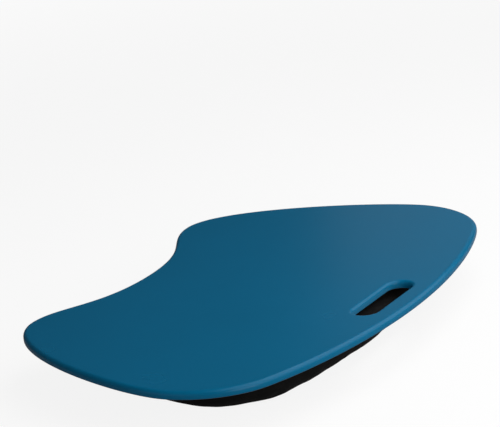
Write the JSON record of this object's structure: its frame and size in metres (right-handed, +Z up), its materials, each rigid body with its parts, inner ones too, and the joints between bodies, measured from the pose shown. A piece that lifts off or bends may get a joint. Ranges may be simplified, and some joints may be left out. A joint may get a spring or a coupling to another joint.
{
  "type": "lap desk",
  "caption": "Lap desk: flat blue board with rounded lobes, a curved front edge and a hand grip near its back, fastened to a black bead-filled cushion.",
  "frame": {"origin": "on the surface that the cushion stands on, under the middle of the board's width and depth", "axes": "+X to the user's right, +Y away from the user towards the hand grip, +Z up"},
  "size_m": [0.6, 0.398, 0.0639],
  "materials": {
    "painted_board": "satin",
    "black_fabric": "matte",
    "white_beads": "matte",
    "hook_tape": "matte",
    "loop_tape": "matte"
  },
  "bodies": {
    "root": {"tray_board": "painted_board", "cushion_panel": "black_fabric", "cushion_cover": "black_fabric", "bead_filling": "white_beads", "hook_tape_back_left": "hook_tape", "hook_tape_back_right": "hook_tape", "hook_tape_front_left": "hook_tape", "hook_tape_front_right": "hook_tape", "loop_tape_back_left": "loop_tape", "loop_tape_back_right": "loop_tape", "loop_tape_front_left": "loop_tape", "loop_tape_front_right": "loop_tape"}
  },
  "joints": []
}
